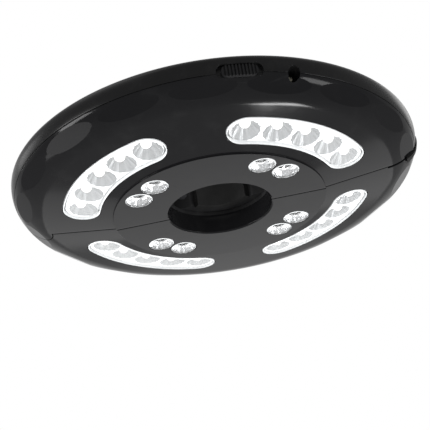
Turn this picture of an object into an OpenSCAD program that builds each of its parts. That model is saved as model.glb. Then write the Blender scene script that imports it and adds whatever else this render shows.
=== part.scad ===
// Clip-on light for a patio umbrella pole: two half discs hinged at one end of their seam,
// with two sprung jaws that grip the pole.
// +Z points up the pole, +X along the seam to its open end, -Y to the half with the switch.
// The origin is on the pole axis, half way up the jaw pads. Heights named here are measured from
// the flat ring of the underside, and at_pole() brings them to the origin.

/* [Disc] */
// Outside diameter of the disc
disc_d = 200; // [196:1:208]
// Diameter of the hole for the pole
pole_hole_d = 51.2; // [50:0.2:52]
// Diameter of the flat ring round the hole
ring_d = 105; // [103:0.5:106]
// Step from the flat ring up to the shallow cone
ring_step = 0.8; // [0.5:0.1:1.2]
// Rise of the shallow cone
cone_rise = 4; // [3.5:0.1:4.5]
// Width of the rounded rim outside the cone
rim_w = 15.6; // [15:0.1:16]
// Radius of the rim where it turns upright
edge_round = 10.3; // [9.5:0.1:11]
// Slope of the underside where the rim's two rounds meet
rim_turn = 31; // [29:1:33]
// Height of the joint between lower shell and top cover
parting_h = 12.2; // [11.5:0.1:12.6]
// Height at which the upright rim ends
rim_h = 17.6; // [17.4:0.1:19]
// Radius of the rim's upper edge
shoulder_r = 3.5; // [3:0.1:4]
// Slope of the dome at the rim, in degrees
dome_slope = 28; // [27:0.5:29]
// Diameter of the flat crown
crown_d = 92; // [91:1:96]
// Wall of the shells
wall = 2; // [1.8:0.1:2.2]
// Gap between the two halves
seam_gap = 0.5; // [0.3:0.1:0.8]
// Chamfer round the mouth of the pole hole
mouth_chamfer = 0.6; // [0.3:0.1:1]

/* [Rim facets] */
// Number of flat facets round the rim
facet_count = 18; // [16:1:20]
// Angle of the first facet's middle, in degrees
facet_turn = -84.5; // [-90:0.5:-80]
// Slope of a facet, in degrees
facet_slope = 33.4; // [32:0.2:35]
// Distance of a facet's middle from the disc's edge
facet_in = 5.6; // [5.4:0.1:6]
// Height of a facet's middle
facet_h = 8.8; // [8.6:0.1:9]

/* [Arc windows] */
// Radius of the windows' middle line
window_r = 67.6; // [67:0.1:68.2]
// Width of a window
window_w = 17.8; // [17:0.1:18.2]
// Angle between the seam and the middle of a window
window_angle = 45; // [44:0.5:46]
// Cups in a window
cup_count = 5; // [4:1:5]
// Angle from cup to cup
cup_pitch = 12.9; // [12.6:0.1:13]
// Thickness of the clear windows
lens_t = 1; // [0.8:0.1:1.2]
// How far a window stands out of the shell
lens_proud = 0.4; // [0.2:0.1:0.6]
// Width of the flange that seats a window inside the shell
lens_flange = 1.6; // [1.2:0.1:1.8]
// Clearance round windows and trays
fit_gap = 0.15; // [0.1:0.05:0.2]
// Radius of the hole for a light source at a cup's tip
cup_tip_r = 2.6; // [2.5:0.1:2.8]

/* [Spot lenses] */
// Radius of the circle of round lenses
spot_r = 43.4; // [43:0.1:44]
// Diameter of a round lens
spot_d = 12.9; // [12.6:0.1:13]
// Angle from the middle of a pair to each lens
spot_spread = 9.2; // [9.1:0.1:9.4]
// How far a round lens stands out
spot_proud = 0.8; // [0.5:0.1:1]

/* [Light boards] */
// Height of the boards' lower face
board_h = 8; // [7.8:0.1:8.2]
// Thickness of the circuit boards
board_t = 1.6; // [1.2:0.1:1.7]
// Inner radius of the boards
board_in_r = 37; // [36.8:0.1:37.5]
// Outer radius of the boards
board_out_r = 79.5; // [79:0.1:80.5]
// Radius of a light source
led_r = 2.4; // [2.2:0.1:2.4]

/* [Pole grip] */
// Diameter of the pole that the jaws are drawn on
pole_d = 38; // [36:1:40]
// Thickness of a jaw pad
pad_t = 3; // [2.5:0.1:3.4]
// Height of a jaw pad
pad_h = 16; // [14:0.5:16.4]
// Height of the pads' lower edge
pad_foot_h = 12.5; // [12.4:0.1:12.8]
// Angle that a pad spans round the pole
pad_angle = 80; // [70:1:84]
// Width of a jaw
jaw_w = 48; // [47:0.5:49]
// Distance from the pole axis to a jaw's front edge
jaw_front = 15; // [14.6:0.1:15.4]
// Distance from the pole axis to a jaw's back
jaw_back = 28; // [27.6:0.1:28.4]
// Travel of a jaw towards the pole
jaw_in = 8; // [7:0.5:8]
// Travel of a jaw away from the pole
jaw_out = 4; // [3:0.5:4]
// Distance between the two guide rods of a jaw
rod_pitch = 40; // [39.6:0.2:40.6]
// Diameter of a guide rod
rod_d = 3; // [2.6:0.1:3.2]
// Diameter of a guide rod's head
rod_head_d = 5.2; // [5:0.1:5.4]
// Height of the rods
rod_h = 20.5; // [20:0.1:21]
// Distance from the pole axis to the cradle's back wall
cradle_back = 36; // [35.8:0.1:36.2]
// Wall of the jaw cradle
cradle_wall = 1.5; // [1.2:0.1:1.6]
// Height of the cradle's floor
cradle_foot_h = 10.2; // [10:0.1:10.3]
// Height of the cradle's upper edge
cradle_top_h = 29.4; // [29.2:0.1:29.8]
// Running clearance of sliding and turning pieces
slide_gap = 0.3; // [0.25:0.05:0.35]
// Clearance of a rod or pin in its running hole
running_gap = 0.06; // [0.04:0.01:0.08]

/* [Hinge] */
// Distance from the disc's edge to the hinge axis
hinge_in = 6; // [5.8:0.1:6.2]
// Radius of the front half's hinge lobes
lobe_r = 8.5; // [8.4:0.1:8.7]
// Clearance round the hinge lobes
lobe_gap = 0.4; // [0.3:0.05:0.5]
// Diameter of the hinge pin
pin_d = 3; // [2.8:0.1:3.2]
// Height of the rear half's knuckle above the joint of the shells
knuckle_top_h = 18.4; // [18.2:0.1:18.6]
// Radius of the spring chamber in the knuckle
chamber_r = 5.6; // [5.4:0.1:5.8]
// Floor of the spring chamber
chamber_foot_h = 13.8; // [13.6:0.1:14]

/* [Cells] */
// Diameter of a cell
cell_d = 14.2; // [13.8:0.1:14.3]
// Diameter of a cell's tip
tip_d = 5.5; // [5:0.1:5.5]
// Length of a cell's tip
tip_l = 1.3; // [1:0.1:1.5]
// Height of the cells' axis
cell_h = 21; // [20.8:0.1:21.2]
// Distance between the two cells' axes
cell_pitch = 15; // [14.8:0.1:15.2]
// Distance from the pole axis to the first cell's axis
cell_first = 47.6; // [47.4:0.1:47.8]
// Length of the cell bay
bay_l = 56; // [55.6:0.1:56.4]
// Room for the contacts at a cell's two ends together
contact_room = 5.5; // [5:0.1:6]
// Width and height of a contact plate
plate_w = 10; // [9:0.5:12]
// Thickness of a contact plate
plate_t = 0.4; // [0.3:0.1:0.5]
// Wall of the cell tray
tray_wall = 1.2; // [1:0.1:1.4]

/* [Cell doors] */
// Distance from the tray's inner wall to a door's hinge axis
door_hinge_in = 0.75; // [0.65:0.05:1]
// Radius of a door's outer corners
door_corner = 4; // [3:0.5:5]
// Width of a door's latch tongue
latch_w = 10; // [8:1:14]
// Thickness of a door's latch tongue
latch_t = 1.2; // [1:0.1:1.3]
// Reach of a door's hinge stub into its ear
stub_l = 1.7; // [1.5:0.1:2]
// Depth of a door's hinge axis below the crown
door_hinge_depth = 1.5; // [1.4:0.1:1.6]
// Diameter of a door's hinge stubs
stub_d = 1.8; // [1.6:0.1:1.8]
// Gap round a door
door_gap = 0.3; // [0.25:0.05:0.4]
// Gap beyond a door's outer edge
door_swing_gap = 0.6; // [0.55:0.05:0.8]

/* [Switch and inlet] */
// Angle of the switch on the rim, in degrees
switch_turn = -75; // [-76:0.5:-74.5]
// Height of the switch's middle
switch_h = 12.95; // [12.8:0.05:13.1]
// Length of the switch recess
recess_l = 20; // [19.6:0.1:20.4]
// Width of the switch recess
recess_w = 5.9; // [5.7:0.1:6.1]
// Distance from the disc's edge to the recess floor
recess_in = 2.6; // [2.4:0.1:2.8]
// Length of the switch knob
knob_l = 15.6; // [15.2:0.1:15.8]
// Width of the switch knob
knob_w = 5.2; // [5:0.1:5.3]
// Travel of the switch knob to each side
knob_travel = 2; // [1.8:0.1:2]
// Ribs on the knob
rib_count = 9; // [7:1:10]
// Angle of the inlet on the rim, in degrees
jack_turn = -61.2; // [-61.6:0.2:-60.6]
// Height of the inlet's middle
jack_h = 12.3; // [12.1:0.1:12.6]
// Diameter of the inlet's opening
jack_d = 5.6; // [5.2:0.1:6]
// Wall of the inlet's body beside and below its opening
jack_wall = 0.4; // [0.3:0.1:0.6]

// Width of the driver board
driver_w = 12; // [11:0.2:12.4]
// Diameter of the board's capacitor
capacitor_d = 6; // [5:0.5:6.5]
// Height of the board's capacitor
capacitor_h = 2.6; // [2:0.1:3]
// Length of the board's chip
chip_l = 5; // [4:0.5:6]
// Height of the board's chip
chip_h = 1.5; // [1:0.1:1.8]
// Length of a small board part
small_part_l = 3.2; // [2:0.2:3.6]

/* [Hidden] */
$fn = 96;
disc_r = disc_d / 2;
hole_r = pole_hole_d / 2;
ring_r = ring_d / 2;
crown_r = crown_d / 2;
far = disc_d;          // longer than anything it cuts
cone_r = disc_r - rim_w;
cone_a = atan(cone_rise / (cone_r - ring_r));
// The rim's upper round is as large as the height below the upright rim lets it be.
belly_rise = (cos(cone_a) - cos(rim_turn)) / (sin(rim_turn) - sin(cone_a));
edge_r = min(edge_round, (rim_h - ring_step - cone_rise - belly_rise * rim_w)
    / (cos(rim_turn) - belly_rise * (1 - sin(rim_turn))));
mid_r = disc_r - edge_r * (1 - sin(rim_turn));
belly_r = (mid_r - cone_r) / (sin(rim_turn) - sin(cone_a));
belly_c = [cone_r - belly_r * sin(cone_a), ring_step + cone_rise + belly_r * cos(cone_a)];
edge_c = [disc_r - edge_r, belly_c.y - (belly_r - edge_r) * cos(rim_turn)];
shoulder_c = [disc_r - shoulder_r, rim_h];
dome_r = (shoulder_c.x + shoulder_r * sin(dome_slope) - crown_r) / sin(dome_slope);
crown_h = shoulder_c.y + shoulder_r * cos(dome_slope) + dome_r * (1 - cos(dome_slope));
dome_c = [crown_r, crown_h - dome_r];
grip_h = pad_foot_h + pad_h / 2;
pole_r = pole_d / 2;
hinge_x = -(disc_r - hinge_in);
pin_r = pin_d / 2;
pin_foot_h = 9.6;
pin_top_h = 21;
window_half_a = cup_pitch * (cup_count - 1) / 2;
seat_w = window_w / 2 + lens_flange;
spot_hole_r = spot_d / 2 + 0.1;
spot_seat_r = spot_d / 2 + 0.4;
cell_r = cell_d / 2;
bay_foot_h = cell_h - cell_r - fit_gap;
bay_front = cell_first - cell_r - fit_gap;
bay_back = cell_first + cell_pitch + cell_r + 8 * fit_gap;
cell_l = bay_l - tip_l - contact_room;
cell_shift = bay_l / 2 - plate_t - 0.1 - tip_l - cell_l / 2;
door_l = bay_l - 2 * door_gap;
door_hinge_y = bay_front + door_hinge_in;
tray_top_h = 29.9;
door_hinge_h = crown_h - door_hinge_depth;
door_open_y = bay_back + 0.1;
door_edge_y = door_open_y - door_swing_gap;
recess_d = disc_r - recess_in;
switch_block_d = disc_r - 6;
jack_block_d = disc_r - 9;
board_seat_h = 16.8;
boss_r = 3;
rim_boss_r = disc_r - 13;
rim_boss_turns = [-30, -100, -150];
inner_boss = [33, -7];
screw_r = 1.1;
screw_head_r = 2.2;
screw_head_h = 1.6;
boss_places = concat(
    [for (a = rim_boss_turns) rim_boss_r * [cos(a), sin(a)]],
    [for (s = [-1, 1]) [s * inner_boss.x, inner_boss.y]]);

// ---- placing ----

module at_pole() translate([0, 0, -grip_h]) children();

// The rear half is the front half's mirror image in the seam.
module half(rear) {
    if (rear) mirror([0, 1, 0]) children();
    else children();
}

// Turned so that +X points out through the rim at angle a, at height h.
module on_rim(a, h) rotate([0, 0, a]) translate([0, 0, h]) children();

module at_windows() for (a = [-window_angle, window_angle - 180]) rotate([0, 0, a]) children();

module at_cups() at_windows()
    for (i = [0:cup_count - 1]) rotate([0, 0, i * cup_pitch - window_half_a])
        translate([window_r, 0, 0]) children();

module at_spots() at_windows()
    for (s = [-1, 1]) rotate([0, 0, s * spot_spread]) translate([spot_r, 0, 0]) children();

// Screw places. Zero height is the shells' inner floor there, which lies floor_h above the ring.
module at_bosses() for (p = boss_places) {
    $floor_h = under_h(norm(p)) + wall;
    translate([p.x, p.y, $floor_h]) children();
}

// ---- outer form ----

// Points of a round that is centred on c, from slope a0 to slope a1, without its first point.
function round_pts(c, r, a0, a1, n) =
    [for (i = [1:n]) let (a = a0 + (a1 - a0) * i / n) c + r * [sin(a), -cos(a)]];

// Slope of the rim's round where the shells part, t inside the outer surface.
function parting_a(t) = acos((edge_c.y - parting_h) / (edge_r - t));

// Height of the cone's outer surface at radius r.
function cone_h(r) = ring_step + (r - ring_r) * tan(cone_a);

// Height of the underside's outer surface at radius r.
function under_h(r) = r < ring_r ? 0 : r < cone_r ? cone_h(r)
    : belly_c.y - sqrt(pow(belly_r, 2) - pow(r - belly_c.x, 2));

// Outline of the underside from the axis to the shells' joint, t inside the outer surface.
function under_pts(t) = concat(
    [[0, t], [ring_r, t], [ring_r, ring_step + t / cos(cone_a)]],
    [belly_c + (belly_r - t) * [sin(cone_a), -cos(cone_a)]],
    round_pts(belly_c, belly_r - t, cone_a, rim_turn, 5),
    round_pts(edge_c, edge_r - t, rim_turn, parting_a(t), 5));

// Outline from the shells' joint over the shoulder to the crown, t inside the outer surface.
function upper_pts(t) = concat(
    round_pts(edge_c, edge_r - t, parting_a(t), 90, 5),
    [[disc_r - t, rim_h]],
    round_pts(shoulder_c, shoulder_r - t, 90, 180 - dome_slope, 5),
    round_pts(dome_c, dome_r - t, 180 - dome_slope, 180, 10),
    [[0, crown_h - t]]);

module lower_form(t) rotate_extrude()
    polygon(concat([[0, parting_h]], under_pts(t)));

module upper_form(t) rotate_extrude()
    polygon(concat(
        [[0, parting_h], edge_c + (edge_r - t) * [sin(parting_a(t)), -cos(parting_a(t))]],
        upper_pts(t)));

module facet_cuts()
    for (i = [0:facet_count - 1]) rotate([0, 0, facet_turn + i * 360 / facet_count])
        translate([disc_r - facet_in, 0, facet_h]) rotate([0, -facet_slope, 0])
            translate([-20, -30, -20]) cube([40, 60, 20]);

// Everything on the front side of the seam, w away from its middle.
module seam_side(w) translate([-far, -2 * far - w, -far]) cube([2 * far, 2 * far, 2 * far]);

module hinge_post(r, h0, h1) translate([hinge_x, 0, h0]) cylinder(r = r, h = h1 - h0);

// ---- shapes in the windows ----

// Band that follows the window's arc: straight sides, half width w, from height h0 to h1.
module arc_band(w, h0, h1) {
    rotate([0, 0, -window_half_a]) rotate_extrude(angle = 2 * window_half_a)
        translate([window_r - w, h0]) square([2 * w, h1 - h0]);
    for (s = [-1, 1]) rotate([0, 0, s * window_half_a])
        translate([window_r, 0, h0]) cylinder(r = w, h = h1 - h0);
}

// Layer that follows the cone, from t0 to t1 above its outer surface.
module cone_layer(t0, t1) {
    r0 = ring_r + 1;
    r1 = cone_r - 1;
    rotate_extrude()
        polygon([[r0, cone_h(r0) + t0], [r1, cone_h(r1) + t0],
            [r1, cone_h(r1) + t1], [r0, cone_h(r0) + t1]]);
}

// ---- shells ----

module rim_blocks(h0, h1) {
    on_rim(switch_turn, 0) translate([switch_block_d, -recess_l / 2 - 2, h0])
        cube([20, recess_l + 4, h1 - h0]);
    on_rim(jack_turn, 0) translate([jack_block_d, -5, h0]) cube([20, 10, h1 - h0]);
}

// Hollow inside one lower shell: it leaves the seam wall, the collar round the pole,
// the hinge block, the screw bosses and the thick places behind switch and inlet.
module lower_hollow(rear) difference() {
    intersection() {
        lower_form(wall);
        seam_side(seam_gap / 2 + wall);
    }
    translate([0, 0, -1]) cylinder(r = hole_r + wall, h = far);
    hinge_post(lobe_r + 2, -1, far);
    at_bosses() translate([0, 0, -wall]) cylinder(r = boss_r, h = far);
    if (!rear) rim_blocks(-1, far);
}

module lower_blank(rear) difference() {
    lower_form(0);
    half(rear) lower_hollow(rear);
    translate([0, 0, -1]) cylinder(r = hole_r, h = far);
    translate([0, 0, -mouth_chamfer])
        cylinder(r1 = hole_r + 2 * mouth_chamfer, r2 = hole_r, h = 2 * mouth_chamfer);
    facet_cuts();
    half(rear) {
        at_windows() arc_band(window_w / 2, -5, 20);
        at_spots() translate([0, 0, -5]) cylinder(r = spot_hole_r, h = 10);
        at_bosses() cylinder(r = screw_r + 0.02, h = far);
        translate([0, 0, cradle_foot_h]) cylinder(r = hole_r + wall + 1, h = far);
    }
}

// Recess of the knob, with the slot for its stem.
module switch_recess() on_rim(switch_turn, switch_h) {
    translate([recess_d, 0, 0]) rotate([0, 90, 0]) stadium(recess_w, recess_l, 20);
    translate([switch_block_d - 1, -stem_slot_l / 2, -stem_slot_w / 2])
        cube([12, stem_slot_l, stem_slot_w]);
}
stem_l = 4;
stem_w = 1.6;
stem_slot_l = stem_l + 2 * (knob_travel + slide_gap);
stem_slot_w = stem_w + 2 * slide_gap;

// Slot with round ends, w by l, that runs along Y and stands h up.
module stadium(w, l, h) {
    translate([-w / 2, -(l - w) / 2, 0]) cube([w, l - w, h]);
    for (s = [-1, 1]) translate([0, s * (l - w) / 2, 0]) cylinder(d = w, h = h);
}

module jack_bore() on_rim(jack_turn, jack_h) translate([jack_block_d - 1, 0, 0])
    rotate([0, 90, 0]) cylinder(d = jack_d, h = far);

module front_bottom_shell() color("#1c1c1d") at_pole() difference() {
    intersection() {
        lower_blank(false);
        union() {
            seam_side(seam_gap / 2);
            hinge_post(lobe_r, -1, far);
        }
    }
    hinge_post(pin_r + 0.02, pin_foot_h, far);
    switch_recess();
    jack_bore();
}

module rear_bottom_shell() color("#1c1c1d") at_pole() difference() {
    intersection() {
        lower_blank(true);
        mirror([0, 1, 0]) seam_side(seam_gap / 2);
    }
    hinge_post(lobe_r + lobe_gap, -1, far);
    buffer_block(0.1);
    // finger groove under the open end of the seam
    translate([disc_r - 16, 0, -1]) cube([10, 1.5, far]);
}

module upper_hollow(rear) difference() {
    intersection() {
        upper_form(wall);
        seam_side(seam_gap / 2 + wall);
    }
    hinge_post(lobe_r + 2, -1, far);
    at_bosses() cylinder(r = boss_r, h = far);
    if (!rear) rim_blocks(-1, board_seat_h);
    door_ears();
}

module door_ears() for (s = [-1, 1])
    translate([s * (bay_l / 2 + ear_t / 2) - ear_t / 2, -door_hinge_y - ear_t, door_hinge_h - 2])
        cube([ear_t, 2 * ear_t, 10]);
ear_t = 3;

module door_opening() {
    translate([-bay_l / 2, -door_open_y, door_hinge_h - 8])
        cube([bay_l, door_open_y - door_hinge_y, 20]);
    translate([-bay_l / 2, -door_hinge_y, door_hinge_h]) rotate([0, 90, 0])
        cylinder(r = door_hinge_depth + door_gap, h = bay_l);
    translate([-bay_l / 2, -door_hinge_y - 0.01, door_hinge_h])
        cube([bay_l, door_hinge_depth + door_gap, 10]);
}

module upper_blank(rear) difference() {
    upper_form(0);
    half(rear) upper_hollow(rear);
    // room for the jaws behind the crown
    translate([0, 0, -1]) cylinder(r = hole_r, h = far);
    half(rear) {
        translate([-jaw_w / 2 - 2, -cradle_back - 2, 0]) cube([jaw_w + 4, cradle_back + 2, crown_h - wall]);
        door_opening();
        translate([0, -door_hinge_y, door_hinge_h]) rotate([0, 90, 0])
            cylinder(d = stub_d + 2 * running_gap, h = door_l + 2 * (door_gap + stub_l + 0.8), center = true);
        // finger notch at the door's outer edge
        translate([0, -door_open_y, crown_h + 6.4]) sphere(r = 10);
        at_bosses() {
            cylinder(r = screw_r + 0.2, h = far);
            translate([0, 0, screw_seat_h - $floor_h]) cylinder(r = screw_head_r + 0.2, h = far);
        }
    }
}
screw_seat_h = 20;

module front_top_cover() color("#1f1f20") at_pole() difference() {
    intersection() {
        upper_blank(false);
        union() {
            difference() {
                seam_side(seam_gap / 2);
                hinge_post(lobe_r, -1, knuckle_top_h + slide_gap);
            }
            hinge_post(lobe_r, knuckle_top_h + slide_gap, far);
        }
    }
    hinge_post(pin_r + 0.02, 0, pin_top_h);
    switch_recess();
    jack_bore();
}

module rear_top_cover() color("#1f1f20") at_pole() difference() {
    intersection() {
        upper_blank(true);
        union() {
            difference() {
                mirror([0, 1, 0]) seam_side(seam_gap / 2);
                hinge_post(lobe_r + lobe_gap, 0, parting_h + slide_gap);
                hinge_post(lobe_r + lobe_gap, knuckle_top_h, far);
            }
            hinge_post(lobe_r - lobe_gap, parting_h + slide_gap, knuckle_top_h);
        }
    }
    hinge_post(pin_r + running_gap, 0, far);
    hinge_post(chamber_r, chamber_foot_h, far);
    buffer_block(0.1);
}

// ---- closing buffer ----

module buffer_block(gap) translate([disc_r - 6 - gap, -1, -1])
    cube([20, 5.3 + gap, rim_h + 4 + gap]);

module closing_buffer() color("#0d0d0d") at_pole() intersection() {
    union() {
        lower_form(-0.7);
        upper_form(-0.7);
    }
    buffer_block(0);
    mirror([0, 1, 0]) seam_side(seam_gap / 2);
}

// ---- windows, cups, light sources ----

module arc_lenses(rear) color("#e8eef0", 0.5) at_pole() half(rear) at_windows() difference() {
    union() {
        intersection() {
            cone_layer(-lens_proud, wall + lens_t);
            arc_band(window_w / 2 - fit_gap, -5, 20);
        }
        intersection() {
            cone_layer(wall + 0.02, wall + lens_t);
            arc_band(seat_w - 0.2, -5, 20);
        }
    }
    intersection() {
        cone_layer(lens_t - lens_proud, 20);
        arc_band(window_w / 2 - fit_gap - lens_t, -5, 20);
    }
}

// Cups of the reflector trays: mouth just behind the clear window, tip at the board.
module reflectors(rear) color("#d9dcde") at_pole() half(rear) difference() {
    at_windows() {
        intersection() {
            cone_layer(lens_t - lens_proud + fit_gap, 20);
            arc_band(window_w / 2 - lens_t - 2 * fit_gap, -5, board_h);
        }
        intersection() {
            cone_layer(wall + lens_t, wall + lens_t + 1);
            arc_band(seat_w - 0.2, -5, board_h);
        }
    }
    at_cups() translate([0, 0, cone_h(window_r) - 2])
        cylinder(r1 = cup_mouth_r + 2 * cup_flare, r2 = cup_tip_r, h = board_h - cone_h(window_r) + 2);
    at_cups() cylinder(r = cup_tip_r, h = far);
}
cup_mouth_r = window_w / 2 - lens_t - 2 * fit_gap;
cup_flare = (cup_mouth_r - cup_tip_r) / (board_h - cone_h(window_r));

module spot_lenses(rear) color("#e8eef0", 0.5) at_pole() half(rear) at_spots() {
    translate([0, 0, -spot_proud]) cylinder(r1 = spot_d / 2 - 2, r2 = spot_d / 2, h = spot_proud);
    cylinder(r = spot_d / 2, h = wall);
    translate([0, 0, wall + 0.02]) cylinder(r = spot_seat_r, h = 1);
    translate([0, 0, wall - 0.5]) cylinder(r = spot_d / 2, h = 1);
}

// Cups of the round lenses, from the lens flange up to the board.
module spot_cups(rear) color("#d9dcde") at_pole() half(rear) at_spots() difference() {
    translate([0, 0, wall + 1.02]) cylinder(r = spot_seat_r, h = board_h - wall - 1.02);
    translate([0, 0, wall]) cylinder(r1 = spot_seat_r - 0.3, r2 = cup_tip_r, h = board_h - wall + 0.01);
    cylinder(r = cup_tip_r, h = far);
}

module led() {
    translate([0, 0, board_h - 1]) cylinder(r = led_r, h = 1);
    difference() {
        translate([0, 0, board_h - 1]) sphere(r = led_r - 0.5);
        translate([0, 0, board_h - 0.5]) cylinder(r = led_r, h = 5);
    }
}

module leds(rear) color("#fffbe8") at_pole() half(rear) {
    at_cups() led();
    at_spots() led();
}

module led_board(rear) color("#f0f0ea") at_pole() half(rear) difference() {
    translate([0, 0, board_h]) cylinder(r = board_out_r, h = board_t);
    translate([0, 0, board_h - 1]) cylinder(r = board_in_r, h = board_t + 2);
    translate([-far, -seam_gap / 2 - wall - 1, board_h - 1]) cube([2 * far, 2 * far, board_t + 2]);
}

// ---- pole grip ----

module jaw_pad(rear) color("#101010") at_pole() half(rear) rotate([0, 0, -90 - pad_angle / 2])
    rotate_extrude(angle = pad_angle) translate([pole_r, pad_foot_h]) square([pad_t, pad_h]);

module jaw(rear) color("#232324") at_pole() half(rear) difference() {
    translate([-jaw_w / 2, -jaw_back, pad_foot_h]) cube([jaw_w, jaw_back - jaw_front, pad_h]);
    cylinder(r = pole_r + pad_t + 0.02, h = far);
    at_rods() {
        cylinder(d = rod_d + 2 * running_gap, h = far, center = true);
        translate([0, 0, rod_head_y - jaw_in]) cylinder(d = rod_head_d + 0.6, h = far);
    }
}
rod_head_y = -17.5;

// Along a rod: +Z here points to the pole, and its zero is in the plane through the pole axis.
module at_rods() for (s = [-1, 1]) translate([s * rod_pitch / 2, 0, rod_h]) rotate([-90, 0, 0]) children();

module jaw_rods(rear) color("#b9bcc0") at_pole() half(rear) at_rods() {
    translate([0, 0, -cradle_back - cradle_wall])
        cylinder(d = rod_d, h = cradle_back + cradle_wall + rod_head_y + 1);
    translate([0, 0, rod_head_y]) cylinder(d = rod_head_d, h = 2);
}

module jaw_cradle(rear) color("#2a2a2b") at_pole() half(rear) difference() {
    inner_w = jaw_w + 2 * slide_gap;
    outer_w = inner_w + 2 * cradle_wall;
    depth = cradle_back + cradle_wall - seam_gap / 2 - wall;
    translate([-outer_w / 2, -cradle_back - cradle_wall, cradle_foot_h])
        cube([outer_w, depth, cradle_top_h - cradle_foot_h]);
    translate([-inner_w / 2, -cradle_back, pad_foot_h - slide_gap])
        cube([inner_w, cradle_back + 1, far]);
    cylinder(r = hole_r + 0.1, h = far);
    at_rods() translate([0, 0, -far]) cylinder(d = rod_d + 0.04, h = far);
}

// Open coil of n turns along +Z from z = 0 to z = l, radius r0 at the start and r1 at the end.
coil_rings = 8;
coil_sides = 6;
module coil(r0, r1, wire_r, l, n) {
    m = coil_rings * n;
    rise = l - 2 * wire_r;
    function at(i) = let (u = i / m, r = r0 + (r1 - r0) * u, a = 360 * u * n)
        [r * cos(a), r * sin(a), wire_r + rise * u];
    function side(i, k) = let (p = at(i), a = 360 * i / coil_rings, b = 360 * k / coil_sides)
        p + wire_r * [cos(b) * cos(a), cos(b) * sin(a), sin(b)];
    pts = [for (i = [0:m], k = [0:coil_sides - 1]) side(i, k)];
    walls = [for (i = [0:m - 1], k = [0:coil_sides - 1])
        let (a = i * coil_sides + k, b = i * coil_sides + (k + 1) % coil_sides)
        each [[a, b, a + coil_sides], [b, b + coil_sides, a + coil_sides]]];
    caps = [for (k = [1:coil_sides - 2]) each [
        [0, k + 1, k],
        [m * coil_sides, m * coil_sides + k, m * coil_sides + k + 1]]];
    polyhedron(pts, concat(walls, caps));
    echo(coil_gap = rise / n - 2 * wire_r);
}

module jaw_springs(rear) color("#c8ccd0") at_pole() half(rear) at_rods() {
    r = rod_d / 2 + 0.9;
    translate([0, 0, 0.1 - cradle_back]) coil(r, r, 0.35, cradle_back - jaw_back - 0.2, 5);
}

// ---- cells, contacts, doors ----

// The cell bay grown by t on all sides and below, up to height h.
module bay_block(t, h) translate([-bay_l / 2 - t, -bay_back - t, bay_foot_h - t])
    cube([bay_l + 2 * t, bay_back - bay_front + 2 * t, h - bay_foot_h + t]);

module cell_tray(rear) color("#262627") at_pole() half(rear) intersection() {
    difference() {
        bay_block(tray_wall, tray_top_h);
        bay_block(0, far);
    }
    upper_form(wall + 0.1);
}

// One cell lies along X with its tip towards +X.
module cell() rotate([0, 90, 0]) {
    translate([0, 0, -cell_l / 2]) cylinder(r = cell_r - 0.3, h = cell_l);
    translate([0, 0, -cell_l / 2 + 0.6]) cylinder(r = cell_r, h = cell_l - 1.4);
    translate([0, 0, cell_l / 2]) cylinder(d = tip_d, h = tip_l);
}

module at_cells() for (i = [0, 1])
    translate([0, -cell_first - i * cell_pitch, cell_h]) mirror([i, 0, 0]) children();

module cells(rear) color("#3b6ea5") at_pole() half(rear)
    at_cells() translate([cell_shift, 0, 0]) cell();

module contacts(rear) color("#c9c2a6") at_pole() half(rear) {
    // plate that links the two cells, and one plate for each cell at the other end
    translate([bay_l / 2 - plate_t, -cell_first - cell_pitch - plate_w / 2, cell_h - plate_w / 2])
        cube([plate_t, cell_pitch + plate_w, plate_w]);
    for (i = [0, 1])
        translate([-bay_l / 2, -cell_first - i * cell_pitch - plate_w / 2, cell_h - plate_w / 2])
            cube([plate_t, plate_w, plate_w]);
    at_cells() translate([-bay_l / 2 + plate_t + 0.05, 0, 0]) rotate([0, 90, 0])
        coil(plate_w / 2 - plate_t, plate_w / 4, 0.25, contact_room - 2 * plate_t - 0.1 - 0.1, 3);
}

module door_plan() intersection() {
    translate([-door_l / 2, -door_edge_y, 0]) cube([door_l, door_edge_y - door_hinge_y, far]);
    union() {
        translate([-far, -door_edge_y + door_corner, 0]) cube([2 * far, far, far]);
        translate([-door_l / 2 + door_corner, -far, 0]) cube([door_l - 2 * door_corner, 2 * far, far]);
        for (s = [-1, 1]) translate([s * (door_l / 2 - door_corner), -door_edge_y + door_corner, 0])
            cylinder(r = door_corner, h = far);
    }
}

module cell_door(rear) color("#1f1f20") at_pole() half(rear) {
    intersection() {
        difference() {
            upper_form(0);
            upper_form(wall);
        }
        door_plan();
    }
    translate([0, -door_hinge_y, door_hinge_h]) rotate([0, 90, 0]) {
        cylinder(r = door_hinge_depth - 0.05, h = door_l, center = true);
        cylinder(d = stub_d, h = door_l + 2 * (door_gap + stub_l), center = true);
    }
    // latch tongue
    translate([-latch_w / 2, -door_edge_y + 0.5, tray_top_h - 4.2]) cube([latch_w, latch_t, 4.6]);
}

// ---- screws ----

module screws(rear) color("#8d9094") at_pole() half(rear) at_bosses() {
    translate([0, 0, 0.5]) cylinder(r = screw_r, h = screw_seat_h - $floor_h);
    translate([0, 0, screw_seat_h - $floor_h]) difference() {
        cylinder(r = screw_head_r, h = screw_head_h);
        for (a = [0, 90]) rotate([0, 0, a]) translate([-1.4, -0.3, screw_head_h - 0.8]) cube([2.8, 0.6, 2]);
    }
}

// ---- hinge ----

module hinge_pin() color("#b9bcc0") at_pole() hinge_post(pin_r, pin_foot_h, pin_top_h);

module hinge_spring() color("#c8ccd0") at_pole() translate([hinge_x, 0, chamber_foot_h + 0.1])
    coil(chamber_r - 2, chamber_r - 2, 0.45, knuckle_top_h + slide_gap - chamber_foot_h - 0.2, 2.5);

// ---- switch, inlet, driver ----

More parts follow.
